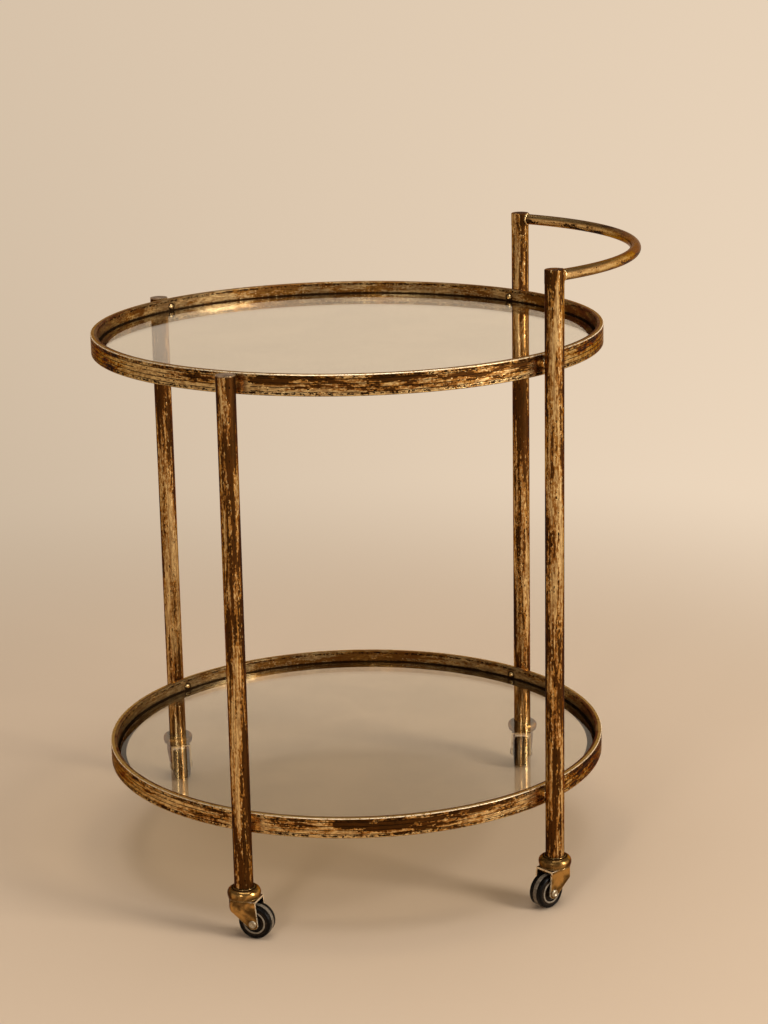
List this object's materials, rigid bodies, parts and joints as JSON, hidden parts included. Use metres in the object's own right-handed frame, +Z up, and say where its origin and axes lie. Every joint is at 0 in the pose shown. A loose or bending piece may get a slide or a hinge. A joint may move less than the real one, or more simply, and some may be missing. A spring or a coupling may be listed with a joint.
{
  "type": "dessert trolley",
  "caption": "Round tiered serving trolley with loose glass shelves in grooved brass rings on tubular posts, a bowed push handle on the taller posts, and swivel castors.",
  "frame": {"origin": "on the floor, under the middle of the whole trolley", "axes": "+Z up, +X towards the push handle, and +Y 90 degrees anticlockwise from +X, seen from above"},
  "size_m": [0.654, 0.6155, 0.75],
  "materials": {
    "aged_brass": "antique brass, dark brown streaks and pits, bright worn edges",
    "flat_cap": "dull brown brass",
    "glass": "clear, slightly grey, polished edge",
    "spacer_brass": "light polished brass",
    "dark_screw": "dark aged brass",
    "plain_steel": "plain",
    "castor_brass": "smooth aged brass",
    "socket_brass": "dark aged brass with a bright rim",
    "bright_steel": "worn nickel",
    "wheel_plastic": "moulded black",
    "grey_tread": "grey rubber",
    "black_tyre": "black rubber",
    "hub_ring": "pale grey"
  },
  "bodies": {
    "frame": {"post_front_left": "aged_brass", "post_front_right": "aged_brass", "post_back_left": "aged_brass", "post_back_right": "aged_brass", "cap_front_left": "flat_cap", "cap_back_left": "flat_cap", "handle_cap_front": "aged_brass", "handle_cap_back": "aged_brass", "handle_bow": "aged_brass", "upper_ring": "aged_brass", "lower_ring": "aged_brass", "upper_spacers": "spacer_brass", "lower_spacers": "spacer_brass", "upper_screws": "dark_screw", "lower_screws": "dark_screw", "upper_inserts": "plain_steel", "lower_inserts": "plain_steel", "socket_front_left": "socket_brass", "socket_front_right": "socket_brass", "socket_back_left": "socket_brass", "socket_back_right": "socket_brass", "castor_cup_front_left": "castor_brass", "castor_cup_front_right": "castor_brass", "castor_cup_back_left": "castor_brass", "castor_cup_back_right": "castor_brass", "castor_stem_front_left": "plain_steel", "castor_stem_front_right": "plain_steel", "castor_stem_back_left": "plain_steel", "castor_stem_back_right": "plain_steel"},
    "castor_front_left": {"castor_fork_front_left": "castor_brass", "castor_balls_front_left": "plain_steel", "axle_front_left": "bright_steel"},
    "wheel_front_left": {"wheel_core_front_left": "wheel_plastic", "tread_band_front_left": "grey_tread", "tyres_front_left": "black_tyre", "hub_rings_front_left": "hub_ring"},
    "castor_front_right": {"castor_fork_front_right": "castor_brass", "castor_balls_front_right": "plain_steel", "axle_front_right": "bright_steel"},
    "wheel_front_right": {"wheel_core_front_right": "wheel_plastic", "tread_band_front_right": "grey_tread", "tyres_front_right": "black_tyre", "hub_rings_front_right": "hub_ring"},
    "castor_back_left": {"castor_fork_back_left": "castor_brass", "castor_balls_back_left": "plain_steel", "axle_back_left": "bright_steel"},
    "wheel_back_left": {"wheel_core_back_left": "wheel_plastic", "tread_band_back_left": "grey_tread", "tyres_back_left": "black_tyre", "hub_rings_back_left": "hub_ring"},
    "castor_back_right": {"castor_fork_back_right": "castor_brass", "castor_balls_back_right": "plain_steel", "axle_back_right": "bright_steel"},
    "wheel_back_right": {"wheel_core_back_right": "wheel_plastic", "tread_band_back_right": "grey_tread", "tyres_back_right": "black_tyre", "hub_rings_back_right": "hub_ring"},
    "upper_shelf": {"upper_glass": "glass"},
    "lower_shelf": {"lower_glass": "glass"}
  },
  "joints": [
    {"name": "swivel_front_left", "type": "hinge", "parent": "frame", "child": "castor_front_left", "pos_m": [-0.15724, -0.28721, 0.0458], "axis": [0, 0, 1], "continuous": true},
    {"name": "roll_front_left", "type": "hinge", "parent": "castor_front_left", "child": "wheel_front_left", "pos_m": [-0.14333, -0.29283, 0.02], "axis": [0.3746, 0.9272, 0], "continuous": true},
    {"name": "swivel_front_right", "type": "hinge", "parent": "frame", "child": "castor_front_right", "pos_m": [0.20427, -0.22346, 0.0458], "axis": [0, 0, 1], "continuous": true},
    {"name": "roll_front_right", "type": "hinge", "parent": "castor_front_right", "child": "wheel_front_right", "pos_m": [0.19295, -0.2333, 0.02], "axis": [0.6561, -0.7547, 0], "continuous": true},
    {"name": "swivel_back_left", "type": "hinge", "parent": "frame", "child": "castor_back_left", "pos_m": [-0.25981, 0.21693, 0.0458], "axis": [0, 0, 1], "continuous": true},
    {"name": "roll_back_left", "type": "hinge", "parent": "castor_back_left", "child": "wheel_back_left", "pos_m": [-0.25592, 0.20244, 0.02], "axis": [0.9659, 0.2588, 0], "continuous": true},
    {"name": "swivel_back_right", "type": "hinge", "parent": "frame", "child": "castor_back_right", "pos_m": [0.20427, 0.22909, 0.0458], "axis": [0, 0, 1], "continuous": true},
    {"name": "roll_back_right", "type": "hinge", "parent": "castor_back_right", "child": "wheel_back_right", "pos_m": [0.20167, 0.21431, 0.02], "axis": [0.9848, -0.1736, 0], "continuous": true},
    {"name": "upper_shelf_lift", "type": "slide", "parent": "frame", "child": "upper_shelf", "axis": [0, 0, 1], "range_m": [0, 0.1]},
    {"name": "lower_shelf_lift", "type": "slide", "parent": "frame", "child": "lower_shelf", "axis": [0, 0, 1], "range_m": [0, 0.1]}
  ]
}
